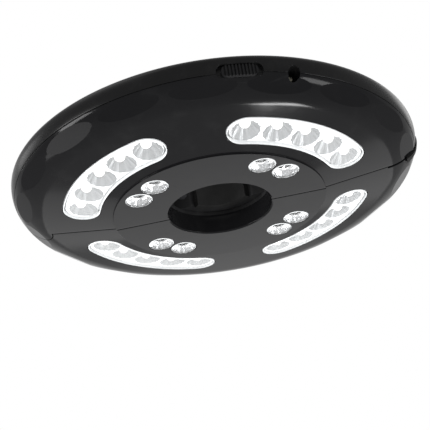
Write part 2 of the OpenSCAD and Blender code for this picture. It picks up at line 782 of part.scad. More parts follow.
module switch_knob() color("#141414") at_pole() on_rim(switch_turn, switch_h) {
    difference() {
        intersection() {
            translate([recess_d + slide_gap, 0, 0]) rotate([0, 90, 0]) stadium(knob_w, knob_l, 20);
            cylinder(r = disc_r - 0.3, h = 40, center = true);
        }
        for (i = [0:rib_count])
            translate([disc_r - 1, (i - rib_count / 2) * rib_pitch - 0.35, -20]) cube([5, 0.7, 40]);
    }
    translate([switch_block_d - 4, -stem_l / 2, -stem_w / 2])
        cube([recess_d - switch_block_d + 4 + 2 * slide_gap, stem_l, stem_w]);
}
rib_pitch = (knob_l - 2.6) / rib_count;

module slide_switch() color("#9a9da1") at_pole() on_rim(switch_turn, 0) difference() {
    translate([switch_block_d - 11, -7, switch_h - 2.3]) cube([10.9, 14, board_seat_h - switch_h + 2.3]);
    translate([switch_block_d - 4.5, -stem_slot_l / 2, switch_h - stem_slot_w / 2])
        cube([12, stem_slot_l, stem_slot_w]);
}
jack_foot_h = jack_h - jack_d / 2 - jack_wall;

module dc_jack() color("#161616") at_pole() on_rim(jack_turn, 0) {
    difference() {
        translate([jack_block_d - 11, -4.5, jack_foot_h]) cube([10.95, 9, board_seat_h - jack_foot_h]);
        translate([jack_block_d - 9, 0, jack_h]) rotate([0, 90, 0]) cylinder(d = jack_d, h = 20);
    }
}

module dc_jack_pin() color("#b9a46a") at_pole() on_rim(jack_turn, jack_h)
    translate([jack_block_d - 9, 0, 0]) rotate([0, 90, 0]) {
        cylinder(d = 2.1, h = 12);
        difference() {
            cylinder(d = jack_d - 0.1, h = 8.5);
            translate([0, 0, 0.5]) cylinder(d = jack_d - 0.7, h = 9);
        }
    }

module driver_board() color("#1f5c3a") at_pole() rotate([0, 0, driver_turn])
    rotate_extrude(angle = jack_turn - switch_turn + 24.2)
        translate([driver_in_r, board_seat_h]) square([driver_w, board_t]);
driver_in_r = jack_block_d - driver_w + 0.6;
driver_turn = switch_turn - 13;

// Angle a from the driver board's end, t outside its middle line.
module on_driver(a, t) on_rim(driver_turn + a, board_seat_h + board_t)
    translate([driver_in_r + driver_w / 2 + t, 0, 0]) children();

module driver_parts() color("#3a3a3c") at_pole() {
    on_driver(20, 0.4) cylinder(d = capacitor_d, h = capacitor_h);
    on_driver(12, -2.1) translate([0, -chip_l / 2, 0]) cube([0.8 * chip_l, chip_l, chip_h]);
    for (p = [[5, -0.6], [30, -1.6]])
        on_driver(p.x, p.y) translate([0, -small_part_l / 2, 0])
            cube([small_part_l / 2, small_part_l, small_part_l / 4]);
}

// Two leads from the cell contacts down to the light board.
module wires(rear) color("#8c1c1c") at_pole() half(rear) for (y = [-52, -58])
    translate([bay_l / 2 + tray_wall + 0.1, y, 0]) {
        translate([0, 0, 16]) rotate([90, 0, 0])
            rotate_extrude(angle = 90) translate([3, 0]) circle(r = 0.6);
        translate([3, 0, board_h + board_t]) cylinder(r = 0.6, h = 16 - board_h - board_t);
    }

module front_arc_lenses() arc_lenses(false);
module rear_arc_lenses() arc_lenses(true);
module front_reflectors() reflectors(false);
module rear_reflectors() reflectors(true);
module front_spot_lenses() spot_lenses(false);
module rear_spot_lenses() spot_lenses(true);
module front_spot_cups() spot_cups(false);
module rear_spot_cups() spot_cups(true);
module front_leds() leds(false);
module rear_leds() leds(true);
module front_led_board() led_board(false);
module rear_led_board() led_board(true);
module front_jaw_cradle() jaw_cradle(false);
module rear_jaw_cradle() jaw_cradle(true);
module front_jaw() jaw(false);
module rear_jaw() jaw(true);
module front_jaw_pad() jaw_pad(false);
module rear_jaw_pad() jaw_pad(true);
module front_jaw_rods() jaw_rods(false);
module rear_jaw_rods() jaw_rods(true);
module front_jaw_springs() jaw_springs(false);
module rear_jaw_springs() jaw_springs(true);
module front_cell_tray() cell_tray(false);
module rear_cell_tray() cell_tray(true);
module front_cells() cells(false);
module rear_cells() cells(true);
module front_contacts() contacts(false);
module rear_contacts() contacts(true);
module front_cell_door() cell_door(false);
module rear_cell_door() cell_door(true);
module front_screws() screws(false);
module rear_screws() screws(true);
module front_wires() wires(false);
module rear_wires() wires(true);

front_bottom_shell();
rear_bottom_shell();
front_top_cover();
rear_top_cover();
front_arc_lenses();
rear_arc_lenses();
front_reflectors();
rear_reflectors();
front_spot_lenses();
rear_spot_lenses();
front_spot_cups();
rear_spot_cups();
front_leds();
rear_leds();
front_led_board();
rear_led_board();
front_jaw_cradle();
rear_jaw_cradle();
front_jaw();
rear_jaw();
front_jaw_pad();
rear_jaw_pad();
front_jaw_rods();
rear_jaw_rods();
front_jaw_springs();
rear_jaw_springs();
front_cell_tray();
rear_cell_tray();
front_cells();
rear_cells();
front_contacts();
rear_contacts();
front_cell_door();
rear_cell_door();
front_screws();
rear_screws();
hinge_pin();
hinge_spring();
closing_buffer();
switch_knob();
slide_switch();
dc_jack();
dc_jack_pin();
driver_board();
driver_parts();
front_wires();
rear_wires();
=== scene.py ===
import bmesh
import bpy
from math import acos, atan, cos, pi, radians, sin, sqrt, tan
from mathutils import Matrix, Vector


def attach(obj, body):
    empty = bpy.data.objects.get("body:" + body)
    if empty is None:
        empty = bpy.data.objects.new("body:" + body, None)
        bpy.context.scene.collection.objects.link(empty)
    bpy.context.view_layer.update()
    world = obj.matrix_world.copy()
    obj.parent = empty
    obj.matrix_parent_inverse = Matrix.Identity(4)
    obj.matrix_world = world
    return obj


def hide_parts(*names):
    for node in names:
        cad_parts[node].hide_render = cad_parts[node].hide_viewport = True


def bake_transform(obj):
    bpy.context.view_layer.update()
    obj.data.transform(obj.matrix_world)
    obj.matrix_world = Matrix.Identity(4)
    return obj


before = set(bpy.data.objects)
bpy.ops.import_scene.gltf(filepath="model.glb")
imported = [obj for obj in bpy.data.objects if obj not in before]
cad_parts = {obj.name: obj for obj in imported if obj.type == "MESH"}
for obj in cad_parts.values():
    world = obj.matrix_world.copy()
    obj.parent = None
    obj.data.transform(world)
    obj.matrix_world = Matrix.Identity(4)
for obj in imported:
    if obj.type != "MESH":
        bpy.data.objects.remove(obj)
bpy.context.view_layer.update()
print("packed frame loaded")

# Shapes are made in millimetres, with heights from the flat ring of the underside.
# settle() takes a finished piece to metres and to the frame's origin.
lamp = {
    "discR": 100.0, "holeR": 25.6, "ringR": 52.5, "ringStep": 0.8, "coneRise": 4.0,
    "rimW": 15.6, "edgeRound": 10.3, "rimTurn": 31.0, "partingH": 12.2, "rimH": 17.6,
    "shoulderR": 3.5, "domeSlope": 28.0, "crownR": 46.0, "wall": 2.0, "seamGap": 0.5,
    "gripMid": 20.5,
}


def clearDefaults():
    for name in ("Cube", "Light", "Camera"):
        if name in bpy.data.objects:
            bpy.data.objects.remove(bpy.data.objects[name], do_unlink=True)


clearDefaults()

# outer form

coneR = lamp["discR"] - lamp["rimW"]
coneA = atan(lamp["coneRise"] / (coneR - lamp["ringR"]))
turnA = radians(lamp["rimTurn"])
midR = lamp["discR"] - lamp["edgeRound"] * (1 - sin(turnA))
bellyR = (midR - coneR) / (sin(turnA) - sin(coneA))
bellyC = (coneR - bellyR * sin(coneA), lamp["ringStep"] + lamp["coneRise"] + bellyR * cos(coneA))
edgeH = bellyC[1] - bellyR * cos(turnA) + lamp["edgeRound"] * cos(turnA)
edgeC = (lamp["discR"] - lamp["edgeRound"], edgeH)
shoulderC = (lamp["discR"] - lamp["shoulderR"], lamp["rimH"])
slopeA = radians(lamp["domeSlope"])
domeR = (shoulderC[0] + lamp["shoulderR"] * sin(slopeA) - lamp["crownR"]) / sin(slopeA)
crownH = shoulderC[1] + lamp["shoulderR"] * cos(slopeA) + domeR * (1 - cos(slopeA))
domeC = (lamp["crownR"], crownH - domeR)


def arcOf(centre, radius, fromA, toA, count):
    steps = [fromA + (toA - fromA) * i / count for i in range(1, count + 1)]
    return [(centre[0] + radius * sin(a), centre[1] - radius * cos(a)) for a in steps]


def partingA(inset):
    return acos((edgeC[1] - lamp["partingH"]) / (lamp["edgeRound"] - inset))


def coneH(r):
    return lamp["ringStep"] + (r - lamp["ringR"]) * tan(coneA)


def underLine(inset, parting=None):
    end = partingA(inset) if parting is None else parting
    start = (bellyC[0] + (bellyR - inset) * sin(coneA), bellyC[1] - (bellyR - inset) * cos(coneA))
    return ([(lamp["ringR"], inset), (lamp["ringR"], lamp["ringStep"] + inset / cos(coneA)), start]
            + arcOf(bellyC, bellyR - inset, coneA, turnA, 14)
            + arcOf(edgeC, lamp["edgeRound"] - inset, turnA, end, 12))


def upperLine(inset, parting=None):
    start = partingA(inset) if parting is None else parting
    return (arcOf(edgeC, lamp["edgeRound"] - inset, start - 0.0001, start, 1)
            + arcOf(edgeC, lamp["edgeRound"] - inset, start, pi / 2, 12)
            + [(lamp["discR"] - inset, lamp["rimH"])]
            + arcOf(shoulderC, lamp["shoulderR"] - inset, pi / 2, pi - slopeA, 10)
            + arcOf(domeC, domeR - inset, pi - slopeA, pi, 22))


# mesh tools

def newObject(name, verts, faces):
    mesh = bpy.data.meshes.new(name)
    mesh.from_pydata(verts, [], faces)
    shape = bmesh.new()
    shape.from_mesh(mesh)
    bmesh.ops.recalc_face_normals(shape, faces=shape.faces)
    shape.to_mesh(mesh)
    shape.free()
    obj = bpy.data.objects.new(name, mesh)
    bpy.context.collection.objects.link(obj)
    return obj


def ringSolid(name, outline, steps=240, span=360.0, start=0.0):
    # outline turned about the pole axis; a full turn closes on itself
    whole = span >= 360.0
    count = steps if whole else steps + 1
    size = len(outline)
    verts = []
    for i in range(count):
        a = radians(start + span * i / steps)
        verts += [(r * cos(a), r * sin(a), h) for r, h in outline]
    faces = []
    for i in range(steps):
        near, far = i * size, ((i + 1) % count) * size
        for k in range(size):
            nxt = (k + 1) % size
            faces.append((near + k, near + nxt, far + nxt, far + k))
    if not whole:
        faces += [tuple(range(size)), tuple((count - 1) * size + k for k in reversed(range(size)))]
    return newObject(name, verts, faces)


def prism(name, points, low, high):
    size = len(points)
    verts = [(x, y, low) for x, y in points] + [(x, y, high) for x, y in points]
    faces = [tuple(reversed(range(size))), tuple(range(size, 2 * size))]
    faces += [(k, (k + 1) % size, size + (k + 1) % size, size + k) for k in range(size)]
    return newObject(name, verts, faces)


def circlePoints(r, count=64, cx=0.0, cy=0.0):
    return [(cx + r * cos(2 * pi * i / count), cy + r * sin(2 * pi * i / count)) for i in range(count)]


def drum(name, profile, count=48):
    # closed round solid about Z: profile is (radius, height) from the lower middle to the upper middle
    verts, faces = [(0, 0, profile[0][1])], []
    for r, h in profile:
        verts += [(r * cos(2 * pi * i / count), r * sin(2 * pi * i / count), h) for i in range(count)]
    verts.append((0, 0, profile[-1][1]))
    last = len(verts) - 1
    for i in range(count):
        n = (i + 1) % count
        faces.append((0, 1 + n, 1 + i))
        for k in range(len(profile) - 1):
            a, b = 1 + k * count, 1 + (k + 1) * count
            faces.append((a + i, a + n, b + n, b + i))
        top = 1 + (len(profile) - 1) * count
        faces.append((last, top + i, top + n))
    return newObject(name, verts, faces)


def block(name, low, high):
    (x0, y0, z0), (x1, y1, z1) = low, high
    return prism(name, [(x0, y0), (x1, y0), (x1, y1), (x0, y1)], z0, z1)


def stadiumPoints(width, length, count=20):
    # slot outline with round ends, its length along the second axis
    r, half = width / 2, (length - width) / 2
    ends = [(r * cos(pi * i / count), half + r * sin(pi * i / count)) for i in range(count + 1)]
    return ends + [(-x, -y) for x, y in ends]


def bandPoints(mid, width, span, count=30, ends=18):
    # stadium bent round the pole axis: width across, span in degrees between the centres of its ends
    half, r = radians(span / 2), width / 2
    outer = [(mid + r, -half + 2 * half * i / count) for i in range(count + 1)]
    inner = [(mid - r, half - 2 * half * i / count) for i in range(count + 1)]
    points = [(reach * cos(a), reach * sin(a)) for reach, a in outer]
    for i in range(1, ends):
        a = half + pi * i / ends
        points.append((mid * cos(half) + r * cos(a), mid * sin(half) + r * sin(a)))
    points += [(reach * cos(a), reach * sin(a)) for reach, a in inner]
    for i in range(1, ends):
        a = -half + pi + pi * i / ends
        points.append((mid * cos(half) + r * cos(a), -mid * sin(half) + r * sin(a)))
    return points


def turn(obj, degreesZ):
    obj.data.transform(Matrix.Rotation(radians(degreesZ), 4, "Z"))
    return obj


def move(obj, x, y, z):
    obj.data.transform(Matrix.Translation((x, y, z)))
    return obj


def mirrorSeam(obj):
    obj.data.transform(Matrix.Scale(-1, 4, (0, 1, 0)))
    obj.data.flip_normals()
    return obj


def outward(obj, angle, height):
    # a shape drawn about Z is laid so that its +Z points out through the rim
    obj.data.transform(Matrix.Rotation(radians(angle), 4, "Z") @ Matrix.Translation((0, 0, height))
                       @ Matrix.Rotation(pi / 2, 4, "Y"))
    return obj


def bake(obj):
    bpy.context.view_layer.update()
    mesh = bpy.data.meshes.new_from_object(obj.evaluated_get(bpy.context.evaluated_depsgraph_get()))
    old = obj.data
    obj.modifiers.clear()
    obj.data = mesh
    bpy.data.meshes.remove(old)


def carve(obj, tools, how="DIFFERENCE"):
    for tool in tools:
        step = obj.modifiers.new("carve", "BOOLEAN")
        step.operation = how
        step.solver = "MANIFOLD"
        step.object = tool
    bake(obj)
    for tool in tools:
        bpy.data.objects.remove(tool, do_unlink=True)
    return obj


def soften(obj, width, keen=26, crisp=6, segments=2):
    # corners over keen degrees get a small round; fainter creases over crisp degrees stay sharp
    shape = bmesh.new()
    shape.from_mesh(obj.data)
    bmesh.ops.remove_doubles(shape, verts=shape.verts, dist=0.015)
    bmesh.ops.dissolve_degenerate(shape, edges=shape.edges, dist=0.002)
    for face in shape.faces:
        face.smooth = True
    for edge in shape.edges:
        a = edge.calc_face_angle(0.0)
        edge.smooth = not (radians(crisp) < a < radians(keen))
    shape.to_mesh(obj.data)
    shape.free()
    step = obj.modifiers.new("round", "BEVEL")
    step.width = width
    step.segments = segments
    step.limit_method = "ANGLE"
    step.angle_limit = radians(keen)
    step.use_clamp_overlap = False
    step.miter_outer = "MITER_ARC"
    even = obj.modifiers.new("even", "WEIGHTED_NORMAL")
    even.keep_sharp = True
    bake(obj)
    return obj


def reachAt(line, height):
    # radius of the outer form at a height
    for (r0, h0), (r1, h1) in zip(line, line[1:]):
        if min(h0, h1) <= height <= max(h0, h1) and abs(h1 - h0) > 0.0001:
            return r0 + (r1 - r0) * (height - h0) / (h1 - h0)
    return lamp["discR"]


def trim(obj, low, high):
    # the rounding may throw a fine spike at a sharp corner; it is brought back to the disc's form
    line = underLine(0)[2:] + upperLine(0)
    for vert in obj.data.vertices:
        x, y, h = vert.co
        h = min(max(h, low), high)
        r = sqrt(x * x + y * y)
        reach = reachAt(line, h) if r > lamp["crownR"] + 1 else r
        back = min(1.0, reach / r)
        vert.co = (x * back, y * back, h)
    return obj


def joined(name, parts):
    # one object from several that share their list of materials
    shape = bmesh.new()
    for part in parts:
        shape.from_mesh(part.data)
    mesh = bpy.data.meshes.new(name)
    shape.to_mesh(mesh)
    shape.free()
    for mat in parts[0].data.materials:
        mesh.materials.append(mat)
    for part in parts:
        bpy.data.objects.remove(part, do_unlink=True)
    obj = bpy.data.objects.new(name, mesh)
    bpy.context.collection.objects.link(obj)
    return obj


def copied(obj):
    twin = bpy.data.objects.new(obj.name, obj.data.copy())
    bpy.context.collection.objects.link(twin)
    return twin


def settle(obj, body, node):
    obj.data.transform(Matrix.Scale(0.001, 4) @ Matrix.Translation((0, 0, -lamp["gripMid"])))
    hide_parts(node)
    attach(obj, body)


# camera

camera = {"distance": 0.51446, "turn": 5.15, "rise": -26.86, "roll": -9.02, "lens": 87.81,
          "shift": (-0.01286, -0.01279)}


def makeCamera():
    a, e, roll = (radians(camera[k]) for k in ("turn", "rise", "roll"))
    out = Vector((sin(a) * cos(e), -cos(a) * cos(e), sin(e)))
    right = Vector((cos(a), sin(a), 0))
    up = out.cross(right)
    across = cos(roll) * right + sin(roll) * up
    above = cos(roll) * up - sin(roll) * right  # the picture is tilted a little
    data = bpy.data.cameras.new("viewCamera")
    data.lens = camera["lens"]
    data.sensor_width = 36
    data.shift_x, data.shift_y = camera["shift"]
    data.clip_start, data.clip_end = 0.01, 20
    obj = bpy.data.objects.new("viewCamera", data)
    place = Matrix((across, above, out)).transposed().to_4x4()
    place.translation = out * camera["distance"] - Vector((0, 0, lamp["gripMid"] * 0.001))
    obj.matrix_world = place
    bpy.context.collection.objects.link(obj)
    bpy.context.scene.camera = obj


makeCamera()
print("camera placed")

# shader groups

def newGroup(name, inputs, outputs):
    group = bpy.data.node_groups.new(name, "ShaderNodeTree")
    for label, value, low, high in inputs:
        socket = group.interface.new_socket(name=label, in_out="INPUT", socket_type="NodeSocketFloat")
        socket.default_value, socket.min_value, socket.max_value = value, low, high
    for label, kind in outputs:
        group.interface.new_socket(name=label, in_out="OUTPUT", socket_type=kind)
    tree = {"nodes": group.nodes, "link": group.links.new}
    tree["in"] = group.nodes.new("NodeGroupInput")
    tree["out"] = group.nodes.new("NodeGroupOutput")
    tree["place"] = group.nodes.new("ShaderNodeTexCoord")
    return group, tree


def calc(tree, operation, a, b, clamp=False):
    node = tree["nodes"].new("ShaderNodeMath")
    node.operation = operation
    node.use_clamp = clamp
    for socket, value in zip(node.inputs, (a, b)):
        if isinstance(value, (int, float)):
            socket.default_value = value
        else:
            tree["link"](value, socket)
    return node.outputs[0]


def noise(tree, scale, detail, rough, vector=None):
    node = tree["nodes"].new("ShaderNodeTexNoise")
    node.inputs["Detail"].default_value = detail
    node.inputs["Roughness"].default_value = rough
    if isinstance(scale, (int, float)):
        node.inputs["Scale"].default_value = scale
    else:
        tree["link"](scale, node.inputs["Scale"])
    tree["link"](vector or tree["place"].outputs["Object"], node.inputs["Vector"])
    return node.outputs[0]


def spread(tree, value, low, high, toLow=0.0, toHigh=1.0):
    node = tree["nodes"].new("ShaderNodeMapRange")
    for label, number in (("From Min", low), ("From Max", high), ("To Min", toLow), ("To Max", toHigh)):
        node.inputs[label].default_value = number
    tree["link"](value, node.inputs["Value"])
    return node.outputs[0]


grainLook = {"driftScale": 34.0, "dustScale": 90.0, "dustFrom": 0.52, "dustTo": 0.74, "dustDulls": 0.25}


def makeMouldedGrain():
    # spark-eroded plastic: fine grain, slow changes in gloss, a little dust in patches
    group, tree = newGroup("mouldedGrain", [("Grain Scale", 2600, 10, 9000), ("Grain", 1, 0, 4),
                                            ("Gloss Drift", 0.06, 0, 1), ("Dust", 0.2, 0, 1)],
                           [("Height", "NodeSocketFloat"), ("Gloss", "NodeSocketFloat"),
                            ("Shade", "NodeSocketFloat")])
    get = tree["in"].outputs
    fine = noise(tree, get["Grain Scale"], 2.0, 0.6)
    slow = noise(tree, grainLook["driftScale"], 4.0, 0.5)
    patch = noise(tree, grainLook["dustScale"], 6.0, 0.65)
    patch = spread(tree, patch, grainLook["dustFrom"], grainLook["dustTo"])
    tree["link"](calc(tree, "MULTIPLY", fine, get["Grain"]), tree["out"].inputs["Height"])
    drift = calc(tree, "MULTIPLY", calc(tree, "SUBTRACT", slow, 0.5), get["Gloss Drift"])
    dusty = calc(tree, "MULTIPLY", patch, get["Dust"])
    dull = calc(tree, "MULTIPLY", dusty, grainLook["dustDulls"])
    tree["link"](calc(tree, "ADD", drift, dull), tree["out"].inputs["Gloss"])
    tree["link"](dusty, tree["out"].inputs["Shade"])
    return group


wearAndSheenLook = {"steepness": 12.0, "breakFrom": 0.35, "breakTo": 0.7}


def makeEdgeWearAndSheen():
    # the raised corners are handled most: a paler, broken line along them, which is both worn plastic and a
    # painted highlight on the edges
    group, tree = newGroup("edgeWear", [("Start", 0.53, 0, 1), ("Amount", 0.3, 0, 1),
                                        ("Break Up", 160, 1, 900)],
                           [("Mask", "NodeSocketFloat")])
    get = tree["in"].outputs
    shape = tree["nodes"].new("ShaderNodeNewGeometry")
    sharp = calc(tree, "SUBTRACT", shape.outputs["Pointiness"], get["Start"])
    sharp = calc(tree, "MULTIPLY", sharp, wearAndSheenLook["steepness"], True)
    broken = noise(tree, get["Break Up"], 5.0, 0.6)
    broken = spread(tree, broken, wearAndSheenLook["breakFrom"], wearAndSheenLook["breakTo"])
    mask = calc(tree, "MULTIPLY", calc(tree, "MULTIPLY", sharp, broken), get["Amount"], True)
    tree["link"](mask, tree["out"].inputs["Mask"])
    return group


def makeDrawnMetal():
    # fine lines along one way, as on drawn wire and turned pins
    group, tree = newGroup("drawnMetal", [("Lines", 900, 10, 5000), ("Stretch", 0.04, 0.001, 1)],
                           [("Height", "NodeSocketFloat"), ("Gloss", "NodeSocketFloat")])
    get = tree["in"].outputs
    stretch = tree["nodes"].new("ShaderNodeCombineXYZ")
    stretch.inputs["X"].default_value = 1.0
    stretch.inputs["Y"].default_value = 1.0
    tree["link"](get["Stretch"], stretch.inputs["Z"])
    scaled = tree["nodes"].new("ShaderNodeVectorMath")
    scaled.operation = "MULTIPLY"
    tree["link"](tree["place"].outputs["Object"], scaled.inputs[0])
    tree["link"](stretch.outputs[0], scaled.inputs[1])
    lines = noise(tree, get["Lines"], 4.0, 0.7, scaled.outputs[0])
    tree["link"](lines, tree["out"].inputs["Height"])
    tree["link"](spread(tree, lines, 0.3, 0.7, -0.08, 0.1), tree["out"].inputs["Gloss"])
    return group


groups = {"grain": makeMouldedGrain(), "wear": makeEdgeWearAndSheen(), "metal": makeDrawnMetal()}
print("shader groups built")

# materials

def startMaterial(name, colour, roughness, metallic=0.0, specular=0.5, coat=0.0):
    mat = bpy.data.materials.new(name)
    mat.use_nodes = True
    nodes = mat.node_tree.nodes
    shader = nodes["Principled BSDF"]
    shader.inputs["Base Color"].default_value = (*colour, 1)
    shader.inputs["Roughness"].default_value = roughness
    shader.inputs["Metallic"].default_value = metallic
    shader.inputs["Specular IOR Level"].default_value = specular
    shader.inputs["Coat Weight"].default_value = coat
    shader.inputs["Coat Roughness"].default_value = 0.1
    return mat, {"nodes": nodes, "link": mat.node_tree.links.new}, shader


def useGroup(tree, key, values):
    node = tree["nodes"].new("ShaderNodeGroup")
    node.node_tree = groups[key]
    for label, value in values.items():
        node.inputs[label].default_value = value
    return node


def mixColour(tree, factor, first, second):
    node = tree["nodes"].new("ShaderNodeMix")
    node.data_type = "RGBA"
    tree["link"](factor, node.inputs["Factor"])
    for socket, value in zip((node.inputs[6], node.inputs[7]), (first, second)):
        if isinstance(value, tuple):
            socket.default_value = (*value, 1)
        else:
            tree["link"](value, socket)
    return node.outputs[2]


def addBump(tree, shader, height, strength, distance):
    bump = tree["nodes"].new("ShaderNodeBump")
    bump.inputs["Strength"].default_value = strength
    bump.inputs["Distance"].default_value = distance
    tree["link"](height, bump.inputs["Height"])
    tree["link"](bump.outputs[0], shader.inputs["Normal"])


plasticLook = {"drift": 0.08, "paleBy": 2.2, "dustBy": 0.85, "lift": 0.02, "bumpDepth": 0.00004}


def plastic(name, colour, roughness, specular, grain=1.0, scale=2600, dust=0.15, wear=0.25, coat=0.0,
            bump=0.12):
    mat, tree, shader = startMaterial(name, colour, roughness, 0.0, specular, coat)
    skin = useGroup(tree, "grain", {"Grain Scale": scale, "Grain": grain,
                                    "Gloss Drift": plasticLook["drift"], "Dust": dust})
    # paler colour along the raised edges: real wear and also a painted highlight
    wearAndSheenMask = useGroup(tree, "wear", {"Amount": wear})
    pale = tuple(min(1.0, c * plasticLook["paleBy"] + plasticLook["lift"]) for c in colour)
    grey = tuple(c * plasticLook["dustBy"] + plasticLook["lift"] for c in colour)
    dusty = mixColour(tree, skin.outputs["Shade"], colour, grey)
    tree["link"](mixColour(tree, wearAndSheenMask.outputs["Mask"], dusty, pale), shader.inputs["Base Color"])
    tree["link"](calc(tree, "ADD", skin.outputs["Gloss"], roughness, True), shader.inputs["Roughness"])
    addBump(tree, shader, skin.outputs["Height"], bump, plasticLook["bumpDepth"])
    return mat


metalLook = {"wear": 0.35, "darken": 0.78, "bump": 0.15, "bumpDepth": 0.00003}


def metal(name, colour, roughness, lines=900, stretch=0.04):
    mat, tree, shader = startMaterial(name, colour, roughness, 1.0)
    drawn = useGroup(tree, "metal", {"Lines": lines, "Stretch": stretch})
    # flats darker than the raised edges: real wear and also a painted highlight along the edges
    wearAndSheenMask = useGroup(tree, "wear", {"Amount": metalLook["wear"]})
    darker = tuple(c * metalLook["darken"] for c in colour)
    tree["link"](mixColour(tree, wearAndSheenMask.outputs["Mask"], darker, colour), shader.inputs["Base Color"])
    tree["link"](calc(tree, "ADD", drawn.outputs["Gloss"], roughness, True), shader.inputs["Roughness"])
    addBump(tree, shader, drawn.outputs["Height"], metalLook["bump"], metalLook["bumpDepth"])
    return mat


glowLook = {"dusty": (1.0, 0.93, 0.72), "bump": 0.1, "bumpDepth": 0.00003}


def glowing(name, colour, strength, roughness=0.3):
    mat, tree, shader = startMaterial(name, colour, roughness)
    skin = useGroup(tree, "grain", {"Grain Scale": 1400, "Grain": 0.6, "Gloss Drift": 0.1, "Dust": 0.05})
    warm = mixColour(tree, skin.outputs["Shade"], colour, glowLook["dusty"])
    tree["link"](warm, shader.inputs["Base Color"])
    tree["link"](warm, shader.inputs["Emission Color"])
    shader.inputs["Emission Strength"].default_value = strength
    addBump(tree, shader, skin.outputs["Height"], glowLook["bump"], glowLook["bumpDepth"])
    return mat


clearLook = {"tint": (0.93, 0.95, 0.96), "dusty": (0.8, 0.82, 0.82), "blend": 0.35, "bump": 0.04,
             "bumpDepth": 0.00004}


def clearPlastic(name, thin, thick, roughness=0.04, glow=0.0):
    # thin where it is looked through squarely, thick where it turns away from the eye
    mat, tree, shader = startMaterial(name, clearLook["tint"], roughness)
    skin = useGroup(tree, "grain", {"Grain Scale": 500, "Grain": 1.0, "Gloss Drift": 0.03, "Dust": 0.1})
    tint = mixColour(tree, skin.outputs["Shade"], clearLook["tint"], clearLook["dusty"])
    tree["link"](tint, shader.inputs["Base Color"])
    if glow:
        tree["link"](tint, shader.inputs["Emission Color"])
        shader.inputs["Emission Strength"].default_value = glow
    facing = tree["nodes"].new("ShaderNodeLayerWeight")
    facing.inputs["Blend"].default_value = clearLook["blend"]
    tree["link"](spread(tree, facing.outputs["Facing"], 0.0, 1.0, thin, thick), shader.inputs["Alpha"])
    addBump(tree, shader, skin.outputs["Height"], clearLook["bump"], clearLook["bumpDepth"])
    return mat


cutLook = {"tint": (0.97, 0.975, 0.98), "dusty": (0.86, 0.87, 0.87), "bending": 1.49, "roughness": 0.02}


def cutGlass(name):
    # polished clear plastic that bends what lies behind it
    mat, tree, shader = startMaterial(name, cutLook["tint"], cutLook["roughness"])
    shader.inputs["Transmission Weight"].default_value = 1.0
    shader.inputs["IOR"].default_value = cutLook["bending"]
    skin = useGroup(tree, "grain", {"Grain Scale": 300, "Grain": 0.5, "Gloss Drift": 0.02, "Dust": 0.15})
    tint = mixColour(tree, skin.outputs["Shade"], cutLook["tint"], cutLook["dusty"])
    tree["link"](tint, shader.inputs["Base Color"])
    gloss = calc(tree, "ADD", skin.outputs["Gloss"], cutLook["roughness"], True)
    tree["link"](gloss, shader.inputs["Roughness"])
    return mat


finishes = {
    "lowerShell": plastic("lowerShellSatin", (0.006, 0.006, 0.0065), 0.11, 0.06, bump=0.04, wear=0.1),
    # the flats: the same black plastic with finer grain and a darker colour; the darker colour is painted
    # shade
    "facet": plastic("rimFacetPolished", (0.004, 0.004, 0.0045), 0.12, 0.07, 0.4, 3000, dust=0.05,
                     bump=0.04),
    "upperShell": plastic("upperCoverSatin", (0.006, 0.006, 0.0062), 0.26, 0.07, bump=0.06, wear=0.15),
    "innerPlastic": plastic("innerMatt", (0.008, 0.008, 0.0085), 0.65, 0.15, 1.4, 1800),
    "knob": plastic("knobSatin", (0.005, 0.005, 0.0055), 0.5, 0.07, 1.2, 2200, wear=0.05),
    "rubber": plastic("gripRubber", (0.009, 0.009, 0.009), 0.8, 0.15, 2.0, 1500, dust=0.4, wear=0.1),
    "boardWhite": plastic("lightBoardWhite", (0.82, 0.83, 0.8), 0.45, 0.4, 0.6, 1200),
    "boardGreen": plastic("driverBoardGreen", (0.03, 0.16, 0.07), 0.35, 0.5, 0.6, 1200, coat=0.4),
    "chip": plastic("componentBlack", (0.03, 0.03, 0.032), 0.5, 0.4, 1.0, 1800),
    "cell": plastic("cellSleeve", (0.05, 0.13, 0.32), 0.25, 0.5, 0.4, 900, coat=0.5),
    "wire": plastic("leadRed", (0.42, 0.02, 0.02), 0.4, 0.5, 0.5, 1500),
    "steel": metal("turnedSteel", (0.62, 0.63, 0.65), 0.28),
    "rod": metal("blackenedRod", (0.06, 0.06, 0.065), 0.35),
    "spring": metal("springWire", (0.7, 0.71, 0.73), 0.25, 1400, 0.3),
    "contact": metal("nickelContact", (0.76, 0.72, 0.6), 0.3, 700, 1.0),
    "can": metal("switchCan", (0.55, 0.56, 0.58), 0.35, 500, 1.0),
    "emitter": glowing("emitterDome", (1.0, 0.985, 0.95), 1.5),
    "reflector": metal("reflectorBright", (0.2, 0.205, 0.21), 0.42, 260, 1.0),
    # the tray's downward face glows a little: painted light standing in for the LEDs' light on the white
    # plate
    "trayFace": glowing("trayFaceLit", (0.85, 0.86, 0.87), 0.3, 0.3),
    "window": clearPlastic("windowClear", 0.04, 0.4),
    # the window's edge band glows a little: painted light for its bright rim
    "windowEdge": clearPlastic("windowEdgeLit", 0.75, 0.9, 0.12, 0.25),
    "spotCup": metal("spotCupBright", (0.6, 0.61, 0.62), 0.24, 260, 1.0),
    "gem": cutGlass("roundLensCut"),
    # the round lens's side glows a little: painted light for its bright edge
    "gemEdge": clearPlastic("roundLensEdge", 0.55, 0.85, 0.1, 0.2),
}
print("materials built")


def paint(obj, key):
    obj.data.materials.clear()
    obj.data.materials.append(finishes[key])
    return obj


# shells

